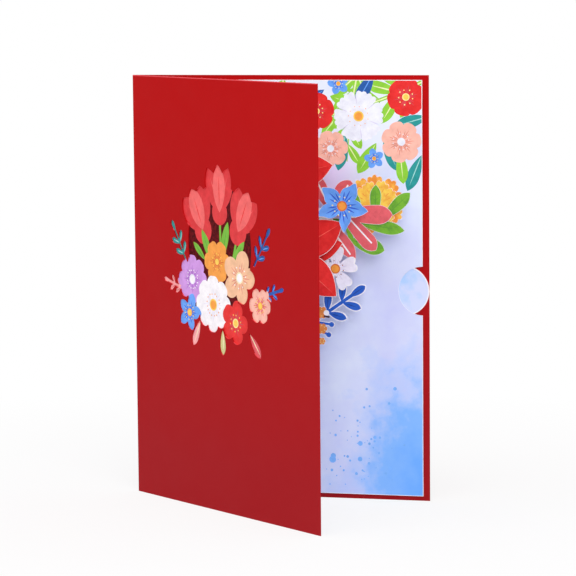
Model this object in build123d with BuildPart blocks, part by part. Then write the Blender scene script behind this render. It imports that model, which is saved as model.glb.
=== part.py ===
from build123d import *
from math import cos, radians, sin, tan
import os

# Greeting card that stands half open: a folded cover with a die-cut window, printed linings,
# a pocket with a slide-out note card, and layered paper flowers on a folding platform.
# Millimetres. +Z is up. The back cover lies along +X from the spine, its inside facing -Y,
# and the front cover swings out from the same spine towards -Y.
# The origin is at the middle of the footprint, on the surface that the card stands on.

# Folded cover
card_width = 127.0
card_height = 178.0
card_thickness = 0.45
opening_angle = 39.1  # degrees between the two covers
cover_fold_radius = 0.3  # inside of the fold

# Printed linings, glued inside both covers
lining_thickness = 0.3
lining_side_margin = 2.7
lining_end_margin = 2.0
lining_spine_gap = 3.0
backing_thickness = 0.4  # picture board and pocket tape, so both linings stand at one height

# Picture board behind the window, and the window's own box on the front cover
board_border = 9.0
picture_width = 73.0
picture_height = 78.0
picture_left = 27.0
picture_bottom = 69.0
stem_width = 1.3

# Pocket and note card
tape_width = 8.0
notch_radius = 10.2
notch_height = 88.5  # centre of the thumb notch above the base
note_thickness = 0.3
note_side_clearance = 5.0  # to the tape beside the spine
note_top_clearance = 8.0  # to the upper tape
note_setback = 12.3  # from the lining's outer edge to the note card's straight edge
note_corner_radius = 3.0
tab_radius = 10.5

# Folding platform
sheet_thickness = 0.3
sheet_fold_radius = 0.25  # along the middle of the sheet
web_length = 22.9
foot_distance = 57.0  # from the spine to the side web's fold
foot_width = 8.0
platform_bottom = 67.0
platform_height = 70.0
gutter_height = 40.0
gutter_flange = 9.0

# Paper flowers and leaves
bouquet_reach = 42.0  # from the platform's edge to the farthest leaf
lap = 10.0  # how far a tab is glued over the platform
tab_width = 5.0
marigold_radius = 13.0
marigold_inner_radius = 9.4
daisy_radius = 9.4
star_radius = 11.3
bloom_outer_length = 27.0
bloom_inner_length = 26.2
bloom_back_length = 22.3  # flat petals under the inner bloom
bloom_outer_rise = 1.0  # height of the crease over the petals' edges
bloom_inner_rise = 0.8
bloom_disc_radius = 6.5
sprig_length = 33.5
sprig_stem = 1.6
berry_radius = 2.6
bud_radius = 1.3
berry_stem = 0.8
front_bloom_radius = 17.0
front_bloom_inner_radius = 11.0
front_star_radius = 11.0
front_daisy_radius = 8.5
pad_width = 6.4
front_pad_height = 1.5
layer_clearance = 0.2

overrun = 1.0  # how far a cut runs past the face it leaves

# Shares of a petal's or leaf's length at which its outline turns
pointed_share = 0.52
rounded_share = 0.66
notch_shoulder_share = 0.70
notch_corner_share = 0.92
notch_depth_share = 0.90
heart_share = 0.28
leaflet_share = 0.30  # of its sprig's length
leaflet_spread_share = 0.42  # width over length
marigold_petal_share = 0.54  # petal width over the flower's radius, here and below
marigold_inner_petal_share = 0.56
daisy_petal_share = 0.76
berry_petal_share = 0.80
star_petal_share = 0.62
bloom_petal_share = 0.56
bloom_belly_share = 0.48  # of a bloom petal's length, where it is widest
petal_facets = 6  # on each side of the belly
front_petal_share = 0.62

# Window motifs: places are shares of the picture's width and height, sizes of its width
tulip_shares = [  # base, head height, petal width, lean
    (0.31, 0.60, 0.25, 0.150, 26),
    (0.47, 0.70, 0.27, 0.130, 2),
    (0.64, 0.61, 0.25, 0.145, -26),
]
stem_foot_shares = [(0.40, 0.36), (0.48, 0.40), (0.56, 0.36)]
oval_shares = (0.47, 0.52, 0.30, 0.36)  # centre and half axes of the opening behind the stems
bed_flower_shares = [  # centre, radius, petals, petal width over radius, belly
    (0.20, 0.33, 0.130, 8, 0.62, 0.72),
    (0.44, 0.44, 0.110, 6, 0.78, 0.68),
    (0.65, 0.37, 0.150, 5, 0.74, 0.58),
    (0.40, 0.21, 0.155, 8, 0.64, 0.72),
    (0.17, 0.15, 0.105, 5, 0.66, 0.54),
    (0.61, 0.13, 0.120, 5, 0.84, 0.64),
    (0.84, 0.24, 0.100, 6, 0.78, 0.68),
]
side_sprig_shares = [  # root, angle, length, pairs of leaflets
    (0.13, 0.27, 166, 0.21, 2),
    (0.15, 0.42, 122, 0.27, 2),
    (0.79, 0.44, 56, 0.27, 2),
    (0.86, 0.29, 16, 0.21, 2),
]
side_bare_share = 0.18
hanging_leaf_shares = [  # root, angle, length, width over length
    (0.28, 0.12, -116, 0.17, 0.36),
    (0.49, 0.09, -88, 0.15, 0.38),
    (0.74, 0.09, -50, 0.17, 0.36),
]

# Bouquet: shares of its reach, from the platform's edge at mid height
marigold_place_share = (0.634, 0.555)
branch_share = [(-0.24, 0.40), (0.30, 0.38), (0.72, 0.405)]
green_leaf_shares = [  # root, angle, length, width over length
    (0.650, 0.41, 88, 0.336, 0.34),
    (0.724, 0.40, 44, 0.383, 0.34),
    (0.474, 0.38, -9, 0.470, 0.28),
    (0.129, 0.362, -26, 0.684, 0.26),
]
coral_hub_share = (0.23, 0.45)
coral_leaf_shares = [  # angle, length, width over length
    (0, 0.60, 0.32),
    (-39, 0.58, 0.30),
    (-64, 0.48, 0.34),
    (62, 0.38, 0.54),
    (116, 0.45, 0.32),
]
daisy_place_share = (0.253, -0.09)
star_place_share = (0.345, 0.54)
bloom_outer_place_share = (-0.383, 0.81)
bloom_inner_place_share = (-0.188, 0.055)
bloom_pad_share = (-0.383, 0.745)
star_pad_share = (0.40, 0.50)
sprig_root_share = (-0.11, -0.72)
sprig_bare_share = 0.42
berry_root_share = (-0.14, -0.60)
berry_shares = [(0.11, -0.53, 1.0), (0.11, -0.69, 0.9), (0.11, -0.815, 0.6)]  # place, size
bud_shares = [(0.21, -0.647), (0.18, -0.75)]

# Hidden half of the bouquet, on the front cover's side
front_leaf_shares = [  # angle, length, width over length
    (78, 0.95, 0.30),
    (34, 1.00, 0.28),
    (-10, 0.90, 0.30),
    (-52, 0.85, 0.30),
]
front_coral_shares = [(40, 0.80, 0.30), (4, 0.78, 0.32), (-34, 0.74, 0.32)]
front_bloom_place_share = (-0.20, 0.10)
front_star_place_share = (0.22, 0.45)
front_daisy_place_share = (0.22, -0.30)

# What follows from the sizes above
half_angle = radians(opening_angle / 2)
full_angle = radians(opening_angle)
fold_edge = cover_fold_radius / tan(half_angle) - cover_fold_radius - card_thickness
front_reach = card_width * sin(full_angle) + card_thickness * cos(full_angle)
spine_x = -(card_width + fold_edge) / 2
spine_y = (front_reach - card_thickness) / 2
lining_face = backing_thickness + lining_thickness
lining_right = card_width - lining_side_margin
lining_height = card_height - 2 * lining_end_margin
foot_level = lining_face + sheet_thickness / 2
plate_level = foot_level + web_length * sin(half_angle)
plate_top = plate_level + sheet_thickness / 2
plate_end = foot_distance + web_length * cos(half_angle)
platform_middle = platform_bottom + platform_height / 2
leaf_top = plate_top + sheet_thickness
coral_top = leaf_top + sheet_thickness
daisy_top = coral_top + sheet_thickness
bloom_back_level = daisy_top + layer_clearance
bloom_disc_level = bloom_back_level + sheet_thickness + layer_clearance + bloom_outer_rise
bloom_inner_level = bloom_disc_level + sheet_thickness + layer_clearance + bloom_inner_rise
star_level = bloom_inner_level + sheet_thickness + layer_clearance
front_bloom_level = coral_top + front_pad_height
front_star_level = front_bloom_level + 2 * sheet_thickness + layer_clearance


def back_at(level):
    """Plane inside the back cover: x from the spine, y up, z towards the reader."""
    return Plane(origin=(spine_x, spine_y - level, 0), x_dir=(1, 0, 0), z_dir=(0, -1, 0))


def front_at(level):
    """Plane inside the front cover: x from the spine, y up, z out through the cover."""
    away = (-sin(full_angle), -cos(full_angle), 0)
    middle = (spine_x - level * away[0], spine_y - level * away[1], 0)
    return Plane(origin=middle, x_dir=(cos(full_angle), -sin(full_angle), 0), z_dir=away)


def plan_at(height):
    """Level plane with its origin on the spine."""
    return Plane(origin=(spine_x, spine_y, height))


def over_back(reach, level):
    """Plan point at a reach from the spine and a level above the back cover's inside."""
    return (reach, -level)


def over_front(reach, level):
    """The same point over the front cover."""
    along = reach * cos(full_angle) + level * sin(full_angle)
    return (along, level * cos(full_angle) - reach * sin(full_angle))


def over_bisector(level):
    """Plan point that lies at the same level over both covers."""
    return over_back(level / tan(half_angle), level)


def in_picture(share_x, share_z):
    """Place inside the picture's box on the front cover."""
    return (picture_left + share_x * picture_width, picture_bottom + share_z * picture_height)


def in_bouquet(share_x, share_z):
    """Place in the bouquet, from the platform's free edge at mid height."""
    return (plate_end + share_x * bouquet_reach, platform_middle + share_z * bouquet_reach)


def turned(place, angle):
    """Location in a sketch at a place, with its x axis turned by an angle."""
    return Location((place[0], place[1], 0), (0, 0, angle))


def leaf(length, width, belly_share):
    """Leaf or petal from the origin along x: arcs on each side that meet at its widest place."""
    belly = (length * belly_share, width / 2)
    with BuildSketch(mode=Mode.PRIVATE) as outline:
        with BuildLine():
            TangentArc(belly, (0, 0), tangent=(-1, 0))
            TangentArc(belly, (length, 0), tangent=(1, 0))
            mirror(about=Plane.XZ)
        make_face()
    return outline.sketch


def notched_petal(length, width):
    """Petal from the origin along x with straight sides and a notch in its blunt tip."""
    side = width / 2
    with BuildSketch(mode=Mode.PRIVATE) as outline:
        with BuildLine():
            Polyline(
                (0, 0),
                (length * notch_shoulder_share, side),
                (length * notch_corner_share, side * notch_corner_share),
                (length, side / 2),
                (length * notch_depth_share, 0),
            )
            mirror(about=Plane.XZ)
        make_face()
    return outline.sketch


def flower(radius, petals, width_share, belly_share=None):
    """Ring of petals round a heart: notched ones, or leaf-shaped where a belly share is given."""
    width = radius * width_share
    petal = leaf(radius, width, belly_share) if belly_share else notched_petal(radius, width)
    with BuildSketch(mode=Mode.PRIVATE) as outline:
        Circle(radius * heart_share)
        with PolarLocations(0, petals):
            add(petal)
    return outline.sketch


def sprig(length, stem, pairs, bare_share):
    """Straight stem with pairs of leaflets past its bare share, and one at its tip."""
    leaflet = length * leaflet_share
    blade = leaf(leaflet, leaflet * leaflet_spread_share, rounded_share)
    bare = length * bare_share
    with BuildSketch(mode=Mode.PRIVATE) as outline:
        Rectangle(length - leaflet / 2, stem, align=(Align.MIN, Align.CENTER))
        with Locations((length - leaflet, 0)):
            add(blade)
        for pair in range(pairs):
            along = bare + (length - leaflet - bare) * pair / pairs
            with Locations(turned((along, 0), 43), turned((along, 0), -43)):
                add(blade)
    return outline.sketch


def tulip(height, petal_width):
    """Closed tulip head that stands on the origin and points along x."""
    petal = leaf(height, petal_width, pointed_share)
    with BuildSketch(mode=Mode.PRIVATE) as outline:
        Circle(petal_width / 2)
        for lean in (-22, 0, 22):
            with Locations(turned((0, 0), lean)):
                add(petal)
    return outline.sketch


def pointed_petal(length, width, belly_share):
    """Petal from the origin along x, in short straight facets, widest at its belly share."""
    belly = length * belly_share
    side = []
    for step in range(2 * petal_facets + 1):
        share = step / petal_facets - 1  # -1 at the root, 1 at the tip
        along = belly + share * (length - belly if share > 0 else belly)
        side.append((along, width / 2 * (1 - share ** 2)))
    with BuildSketch(mode=Mode.PRIVATE) as outline:
        with BuildLine():
            Polyline(*side)
            mirror(about=Plane.XZ)
        make_face()
    return outline.sketch


def creased_petal(length, width, rise):
    """Pointed petal along x, bent along its middle: the crease stands above the edges."""
    drop = rise * 2 * length / width
    with BuildPart(mode=Mode.PRIVATE) as petal:
        with BuildSketch(Plane.XY.offset(-drop)):
            add(pointed_petal(length, width, bloom_belly_share))
        extrude(amount=drop + sheet_thickness)
        with BuildSketch(Plane.YZ) as section:
            with BuildLine():
                Polyline((length, -drop), (0, 0), (-length, -drop))
                Polyline((length, -drop), (length, sheet_thickness - drop), (0, sheet_thickness))
                Polyline((0, sheet_thickness), (-length, sheet_thickness - drop), (-length, -drop))
            make_face()
        extrude(amount=length, mode=Mode.INTERSECT)
    return petal.part


def creased_bloom(plane, place, length, width, rise, first_angle):
    """Five creased petals on a flat disc, as one sheet."""
    petal = creased_petal(length, width, rise)
    with BuildPart(plane) as bloom:
        with Locations(turned(place, first_angle)):
            Cylinder(bloom_disc_radius, sheet_thickness, align=(Align.CENTER, Align.CENTER, Align.MIN))
            with PolarLocations(0, 5):
                add(petal)
    return bloom


def foam_pad(plane, place, height):
    """Square foam pad from a plane, against its direction where the height is negative."""
    with BuildPart() as pad:
        with BuildSketch(plane):
            with Locations(place):
                Rectangle(pad_width, pad_width)
        extrude(amount=height)
    return pad


def leaf_fan(hub, fan_shares):
    """Leaves spread from a round hub, each an angle, a length and a width over length."""
    with BuildSketch(mode=Mode.PRIVATE) as outline:
        with Locations(hub):
            Circle(bloom_disc_radius)
        for angle, length, spread in fan_shares:
            blade = length * bouquet_reach
            with Locations(turned(hub, angle)):
                add(pointed_petal(blade, spread * blade, rounded_share))
    return outline.sketch


def tab_to(place):
    """Tab from its lap over the platform to a place in the bouquet."""
    reach = place[0] - plate_end + lap
    with BuildSketch(mode=Mode.PRIVATE) as outline:
        with Locations((plate_end - lap, place[1])):
            Rectangle(reach, tab_width, align=(Align.MIN, Align.CENTER))
    return outline.sketch


def picture_window():
    """Outline of the die-cut window: tulips on their stems over a bed of flowers and sprigs."""
    with BuildSketch(mode=Mode.PRIVATE) as outline:
        with Locations(in_picture(*oval_shares[:2])):
            Ellipse(oval_shares[2] * picture_width, oval_shares[3] * picture_width)
        for (base_x, base_z, height, petal_share, lean), foot in zip(tulip_shares, stem_foot_shares):
            base = in_picture(base_x, base_z)
            with BuildLine():
                Line(in_picture(*foot), base)
            trace(line_width=stem_width)
            with Locations(turned(base, 90 + lean)):
                add(tulip(height * picture_width, petal_share * picture_width))
        for centre_x, centre_z, radius, petals, spread, belly in bed_flower_shares:
            with Locations(in_picture(centre_x, centre_z)):
                add(flower(radius * picture_width, petals, spread, belly))
        for root_x, root_z, angle, length, pairs in side_sprig_shares:
            with Locations(turned(in_picture(root_x, root_z), angle)):
                add(sprig(length * picture_width, stem_width, pairs, side_bare_share))
        for root_x, root_z, angle, length, spread in hanging_leaf_shares:
            blade = length * picture_width
            with Locations(turned(in_picture(root_x, root_z), angle)):
                add(leaf(blade, spread * blade, rounded_share))
    return outline.sketch


def write_out(piece, name):
    """Name a finished piece and write it."""
    piece.part.label = name
    export_step(piece.part, "parts/" + name + ".step")


os.makedirs("parts", exist_ok=True)


# Cover: one sheet bent round the spine, with the picture's window cut through the front
cover_middle = -card_thickness / 2
with BuildPart() as cover:
    with BuildSketch(plan_at(0)):
        with BuildLine():
            FilletPolyline(
                over_front(card_width, cover_middle),
                over_bisector(cover_middle),
                over_back(card_width, cover_middle),
                radius=cover_fold_radius + card_thickness / 2,
            )
        trace(line_width=card_thickness)
    extrude(amount=card_height)
    with BuildSketch(front_at(overrun)):
        add([face.without_holes() for face in picture_window().faces()])
    extrude(amount=card_thickness + 2 * overrun, mode=Mode.SUBTRACT)
write_out(cover, "cover")

# Picture board behind the window, and the front lining over it
with BuildPart() as picture_board:
    with BuildSketch(front_at(0)):
        board_middle = (picture_left + picture_width / 2, picture_bottom + picture_height / 2)
        with Locations(board_middle):
            Rectangle(picture_width + 2 * board_border, picture_height + 2 * board_border)
    extrude(amount=-backing_thickness)
write_out(picture_board, "picture_board")

with BuildPart() as front_lining:
    with BuildSketch(front_at(backing_thickness)):
        with Locations((lining_spine_gap, lining_end_margin)):
            Rectangle(lining_right - lining_spine_gap, lining_height, align=Align.MIN)
    extrude(amount=-lining_thickness)
write_out(front_lining, "front_lining")

# Back lining with its thumb notch, and the tape that holds three of its sides
with BuildPart() as back_lining:
    with BuildSketch(back_at(backing_thickness)):
        with Locations((lining_spine_gap, lining_end_margin)):
            Rectangle(lining_right - lining_spine_gap, lining_height, align=Align.MIN)
        with Locations((lining_right, notch_height)):
            Circle(notch_radius, mode=Mode.SUBTRACT)
    extrude(amount=lining_thickness)
write_out(back_lining, "back_lining")

with BuildPart() as pocket_tape:
    with BuildSketch(back_at(0)):
        with Locations((lining_spine_gap, lining_end_margin)):
            Rectangle(lining_right - lining_spine_gap, lining_height, align=Align.MIN)
        with Locations((lining_spine_gap + tape_width, lining_end_margin + tape_width)):
            Rectangle(card_width, lining_height - 2 * tape_width, align=Align.MIN, mode=Mode.SUBTRACT)
    extrude(amount=backing_thickness)
write_out(pocket_tape, "pocket_tape")

# Note card that stands in the pocket on its lower tape, its round tab showing in the notch
note_right = lining_right - note_setback
note_width = note_right - lining_spine_gap - tape_width - note_side_clearance
note_height = lining_height - 2 * tape_width - note_top_clearance
with BuildPart() as note_card:
    with BuildSketch(back_at((backing_thickness - note_thickness) / 2)):
        with Locations((note_right, lining_end_margin + tape_width)):
            RectangleRounded(note_width, note_height, note_corner_radius, align=(Align.MAX, Align.MIN))
        with Locations((card_width - tab_radius, notch_height)):
            Circle(tab_radius)
    extrude(amount=note_thickness)
write_out(note_card, "note_card")

# Platform: one folded sheet, glued to both linings by its feet
with BuildPart() as popup_platform:
    with BuildSketch(plan_at(platform_bottom)):
        with BuildLine():
            FilletPolyline(
                over_front(foot_distance - foot_width, foot_level),
                over_front(foot_distance, foot_level),
                over_front(plate_end, plate_level),
                over_bisector(plate_level),
                over_back(plate_end, plate_level),
                over_back(foot_distance, foot_level),
                over_back(foot_distance - foot_width, foot_level),
                radius=sheet_fold_radius,
            )
        trace(line_width=sheet_thickness)
    extrude(amount=platform_height)
write_out(popup_platform, "popup_platform")

# Gutter web: carries the platform's middle crease from the spine
gutter_top = plate_level - sheet_thickness
with BuildPart() as gutter_web:
    with BuildSketch(plan_at(platform_middle - gutter_height / 2)):
        with BuildLine():
            FilletPolyline(
                over_back(foot_level / tan(half_angle) + gutter_flange, foot_level),
                over_bisector(foot_level),
                over_bisector(gutter_top),
                over_back(gutter_top / tan(half_angle) + gutter_flange, gutter_top),
                radius=sheet_fold_radius,
            )
        trace(line_width=sheet_thickness)
    extrude(amount=gutter_height)
write_out(gutter_web, "gutter_web")

# Marigold: two rings of blunt petals, held from behind the green leaves
with BuildPart() as marigold_outer:
    with BuildSketch(back_at(plate_top - 2 * sheet_thickness)):
        with Locations(turned(in_bouquet(*marigold_place_share), 11)):
            add(flower(marigold_radius, 9, marigold_petal_share))
    extrude(amount=sheet_thickness)
write_out(marigold_outer, "marigold_outer")

with BuildPart() as marigold_inner:
    with BuildSketch(back_at(plate_top - sheet_thickness)):
        with Locations(turned(in_bouquet(*marigold_place_share), 31)):
            add(flower(marigold_inner_radius, 9, marigold_inner_petal_share))
    extrude(amount=sheet_thickness)
write_out(marigold_inner, "marigold_inner")

# Green leaves on one branch that is glued over the platform
with BuildPart() as green_leaves:
    with BuildSketch(back_at(plate_top)):
        with BuildLine():
            Polyline([in_bouquet(*point) for point in branch_share])
        trace(line_width=tab_width / 2)
        for root_x, root_z, angle, length, spread in green_leaf_shares:
            blade = length * bouquet_reach
            with Locations(turned(in_bouquet(root_x, root_z), angle)):
                add(leaf(blade, spread * blade, rounded_share))
    extrude(amount=sheet_thickness)
write_out(green_leaves, "green_leaves")

# Coral leaves spread from one hub, over the green ones
with BuildPart() as coral_leaves:
    coral_hub = in_bouquet(*coral_hub_share)
    with BuildSketch(back_at(leaf_top)):
        add(tab_to(coral_hub))
        for angle, length, spread in coral_leaf_shares:
            blade = length * bouquet_reach
            with Locations(turned(coral_hub, angle)):
                add(leaf(blade, spread * blade, rounded_share))
    extrude(amount=sheet_thickness)
write_out(coral_leaves, "coral_leaves")

# Daisy on its own tab
with BuildPart() as daisy:
    daisy_centre = in_bouquet(*daisy_place_share)
    with BuildSketch(back_at(coral_top)):
        add(tab_to(daisy_centre))
        with Locations(turned(daisy_centre, 15)):
            add(flower(daisy_radius, 5, daisy_petal_share))
    extrude(amount=sheet_thickness)
write_out(daisy, "daisy")

# Blue sprig, and the berries and buds on thin stems in front of it
with BuildPart() as blue_sprig:
    with BuildSketch(back_at(plate_top)):
        with Locations(turned(in_bouquet(*sprig_root_share), 35)):
            add(sprig(sprig_length, sprig_stem, 2, sprig_bare_share))
    extrude(amount=sheet_thickness)
write_out(blue_sprig, "blue_sprig")

with BuildPart() as berry_sprig:
    berry_root = in_bouquet(*berry_root_share)
    with BuildSketch(back_at(leaf_top)):
        for share_x, share_z, size_share in berry_shares:
            berry = in_bouquet(share_x, share_z)
            with BuildLine():
                Line(berry_root, berry)
            trace(line_width=berry_stem)
            with Locations(berry):
                add(flower(berry_radius * size_share, 6, berry_petal_share))
        for share_x, share_z in bud_shares:
            bud = in_bouquet(share_x, share_z)
            with BuildLine():
                Line(berry_root, bud)
            trace(line_width=berry_stem)
            with Locations(bud):
                Circle(bud_radius)
    extrude(amount=sheet_thickness)
write_out(berry_sprig, "berry_sprig")

# Red blooms: an outer one beside the platform's top and an inner one, each of creased petals on a
# foam pad, and a flat one under the inner. A pad is as much lower than its disc as the creases
# fall over its corners.
bloom_outer_centre = in_bouquet(*bloom_outer_place_share)
bloom_inner_centre = in_bouquet(*bloom_inner_place_share)
bloom_pad_place = in_bouquet(*bloom_pad_share)
pad_reach = pad_width / 2 ** 0.5  # from a pad's middle to its corners
outer_reach = pad_reach + bloom_outer_centre[1] - bloom_pad_place[1]
outer_petal_width = bloom_outer_length * bloom_petal_share
inner_petal_width = bloom_inner_length * bloom_petal_share
outer_fall = bloom_outer_rise * 2 * outer_reach * sin(radians(60)) / outer_petal_width
inner_fall = bloom_inner_rise * 2 * pad_reach * sin(radians(60)) / inner_petal_width
red_bloom_outer = creased_bloom(
    back_at(bloom_disc_level), bloom_outer_centre, bloom_outer_length, outer_petal_width, bloom_outer_rise, 11.6
)
write_out(red_bloom_outer, "red_bloom_outer")
red_bloom_inner = creased_bloom(
    back_at(bloom_inner_level), bloom_inner_centre, bloom_inner_length, inner_petal_width, bloom_inner_rise, 31
)
write_out(red_bloom_inner, "red_bloom_inner")
bloom_pad = foam_pad(back_at(plate_top), bloom_pad_place, bloom_disc_level - outer_fall - plate_top)
write_out(bloom_pad, "bloom_pad")
with BuildPart() as red_bloom_back:
    with BuildSketch(back_at(bloom_back_level)):
        with Locations(turned(bloom_inner_centre, 12)):
            Circle(bloom_disc_radius)
            with PolarLocations(0, 5):
                add(pointed_petal(bloom_back_length, bloom_back_length * bloom_petal_share, bloom_belly_share))
    extrude(amount=sheet_thickness)
write_out(red_bloom_back, "red_bloom_back")
bloom_back_pad = foam_pad(back_at(plate_top), bloom_inner_centre, bloom_back_level - plate_top)
write_out(bloom_back_pad, "bloom_back_pad")
back_top = bloom_back_level + sheet_thickness
bloom_inner_pad = foam_pad(back_at(back_top), bloom_inner_centre, bloom_inner_level - inner_fall - back_top)
write_out(bloom_inner_pad, "bloom_inner_pad")

# Blue star, the nearest flower, on a pad that stands on the coral leaves
with BuildPart() as blue_star:
    with BuildSketch(back_at(star_level)):
        with Locations(turned(in_bouquet(*star_place_share), 61.5)):
            add(flower(star_radius, 5, star_petal_share, pointed_share))
    extrude(amount=sheet_thickness)
write_out(blue_star, "blue_star")
star_pad = foam_pad(back_at(coral_top), in_bouquet(*star_pad_share), star_level - coral_top)
write_out(star_pad, "star_pad")

# Front half of the bouquet, on the platform's other side
front_bloom_place = in_bouquet(*front_bloom_place_share)
front_star_place = in_bouquet(*front_star_place_share)
front_daisy_place = in_bouquet(*front_daisy_place_share)
with BuildPart() as front_leaves:
    with BuildSketch(front_at(plate_top)):
        add(leaf_fan(front_bloom_place, front_leaf_shares))
    extrude(amount=-sheet_thickness)
write_out(front_leaves, "front_leaves")

with BuildPart() as front_coral_leaves:
    with BuildSketch(front_at(leaf_top)):
        add(leaf_fan(front_bloom_place, front_coral_shares))
    extrude(amount=-sheet_thickness)
write_out(front_coral_leaves, "front_coral_leaves")

with BuildPart() as front_daisy:
    with BuildSketch(front_at(coral_top)):
        add(tab_to(front_daisy_place))
        with Locations(front_daisy_place):
            add(flower(front_daisy_radius, 5, daisy_petal_share))
    extrude(amount=-sheet_thickness)
write_out(front_daisy, "front_daisy")

with BuildPart() as peach_bloom_outer:
    with BuildSketch(front_at(front_bloom_level)):
        with Locations(front_bloom_place):
            add(flower(front_bloom_radius, 8, front_petal_share))
    extrude(amount=-sheet_thickness)
write_out(peach_bloom_outer, "peach_bloom_outer")

with BuildPart() as peach_bloom_inner:
    with BuildSketch(front_at(front_bloom_level + sheet_thickness)):
        with Locations(turned(front_bloom_place, 22.5)):
            add(flower(front_bloom_inner_radius, 8, front_petal_share))
    extrude(amount=-sheet_thickness)
write_out(peach_bloom_inner, "peach_bloom_inner")

with BuildPart() as lilac_star:
    with BuildSketch(front_at(front_star_level)):
        with Locations(turned(front_star_place, 18)):
            add(flower(front_star_radius, 5, star_petal_share, pointed_share))
    extrude(amount=-sheet_thickness)
write_out(lilac_star, "lilac_star")

peach_pad = foam_pad(front_at(coral_top), front_bloom_place, -front_pad_height)
write_out(peach_pad, "peach_pad")
lilac_pad = foam_pad(front_at(coral_top), front_star_place, coral_top - front_star_level)
write_out(lilac_pad, "lilac_pad")
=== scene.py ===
import bmesh
import bpy
from math import asin, cos, exp, hypot, pi, radians, sin
from mathutils import Matrix, Vector
from mathutils.geometry import delaunay_2d_cdt


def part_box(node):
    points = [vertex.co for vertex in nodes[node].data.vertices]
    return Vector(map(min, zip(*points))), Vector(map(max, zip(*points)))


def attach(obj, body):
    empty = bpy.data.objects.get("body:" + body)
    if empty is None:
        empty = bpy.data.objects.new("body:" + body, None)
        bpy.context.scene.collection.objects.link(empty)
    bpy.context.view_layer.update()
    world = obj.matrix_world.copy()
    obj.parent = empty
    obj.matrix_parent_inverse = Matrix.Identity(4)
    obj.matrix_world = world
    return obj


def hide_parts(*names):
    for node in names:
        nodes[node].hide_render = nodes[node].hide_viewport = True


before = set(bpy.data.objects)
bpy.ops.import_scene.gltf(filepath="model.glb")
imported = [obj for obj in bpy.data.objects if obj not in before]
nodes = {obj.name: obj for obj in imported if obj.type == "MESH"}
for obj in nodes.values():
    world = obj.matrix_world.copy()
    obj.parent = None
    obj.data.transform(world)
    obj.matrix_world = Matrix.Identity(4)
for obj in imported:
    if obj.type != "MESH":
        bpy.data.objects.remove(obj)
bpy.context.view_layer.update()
scene = bpy.context.scene
mm = 0.001  # drawings below are in millimetres, meshes in metres
print("frame loaded:", len(nodes), "nodes")


def newObject(name, data):
    made = bpy.data.objects.new(name, data)
    scene.collection.objects.link(made)
    return made


# Camera at the photograph's angle

camera = {
    "lens": 178.8, "sensor": 36.0, "clip": (0.05, 20),
    "place": (0.28335, -1.12069, 0.22592),
    "turn": 13.5755,  # degrees to the right of straight in front
    "fall": 6.5566,
    "roll": -0.4958,
}
turn, fall, roll = (radians(camera[key]) for key in ("turn", "fall", "roll"))
ahead = Vector((-sin(turn) * cos(fall), cos(turn) * cos(fall), -sin(fall)))
level = Vector((cos(turn), sin(turn), 0))
upward = level.cross(ahead)
right = level * cos(roll) + upward * sin(roll)
top = upward * cos(roll) - level * sin(roll)
lens = bpy.data.cameras.new("photoCamera")
lens.lens, lens.sensor_width = camera["lens"], camera["sensor"]
lens.clip_start, lens.clip_end = camera["clip"]
eye = newObject("photoCamera", lens)
eye.matrix_world = Matrix.Translation(camera["place"]) @ Matrix((right, top, -ahead)).transposed().to_4x4()
scene.camera = eye
print("camera placed")

# Both sides of the card, as drawing planes that start at the spine

card = {"width": 127.0, "height": 178.0, "thickness": 0.45, "opening": 39.1}
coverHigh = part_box("cover")[1]
spine = Vector((coverHigh.x - card["width"] * mm, coverHigh.y - card["thickness"] * mm, 0))
swing = radians(card["opening"])
backSide = {"along": Vector((1, 0, 0)), "inward": Vector((0, -1, 0))}
frontSide = {
    "along": Vector((cos(swing), -sin(swing), 0)),
    "inward": Vector((sin(swing), cos(swing), 0)),
}


def onSide(side, x, z, rise):
    return spine + side["along"] * (x * mm) + side["inward"] * (rise * mm) + Vector((0, 0, z * mm))


def levelsOf(node, side):  # lowest and highest level of a flat node over that side, in millimetres
    heights = [(v.co - spine).dot(side["inward"]) / mm for v in nodes[node].data.vertices]
    return min(heights), max(heights)


# Inks and papers

inks = {}
finishes = {  # range of roughness, size of the fibres in millimetres, strength of the bump
    "cover": ((0.46, 0.54), 0.35, 0.10),
    "lining": ((0.5, 0.62), 0.3, 0.2),
    "plain": ((0.48, 0.6), 0.3, 0.2),
    "printed": ((0.44, 0.58), 0.22, 0.22),
}


def tone(red, green, blue):  # written as seen on a screen, 0 to 255
    parts = [v / 255 for v in (red, green, blue)]
    return tuple(v / 12.92 if v <= 0.04045 else ((v + 0.055) / 1.055) ** 2.4 for v in parts) + (1,)


def put(tree, kind, inputs=None, **settings):
    node = tree.nodes.new(kind)
    for name, value in settings.items():
        setattr(node, name, value)
    for key, value in (inputs or {}).items():
        if isinstance(value, bpy.types.NodeSocket):
            tree.links.new(value, node.inputs[key])
        else:
            node.inputs[key].default_value = value
    return node


def join(kind, inputs, **settings):  # a node in the tree that its inputs come from
    tree = [value.id_data for value in inputs.values() if isinstance(value, bpy.types.NodeSocket)][0]
    return put(tree, kind, inputs, **settings).outputs


signs = {
    "+": "ADD", "-": "SUBTRACT", "*": "MULTIPLY", "/": "DIVIDE", "*+": "MULTIPLY_ADD", "**": "POWER",
    "%": "MODULO", ">": "GREATER_THAN", "<": "LESS_THAN",
}


def sums(sign, first, second=0.0, third=0.0):
    return join("ShaderNodeMath", {0: first, 1: second, 2: third}, operation=signs.get(sign, sign))[0]


def blended(share, first, second):
    return join("ShaderNodeMix", {0: share, 6: first, 7: second}, data_type="RGBA")[2]


def ranged(value, low, high, start=0.0, end=1.0):
    return join("ShaderNodeMapRange", {0: value, 1: low, 2: high, 3: start, 4: end})[0]


def apart(vector):
    return join("ShaderNodeSeparateXYZ", {0: vector})


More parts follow.
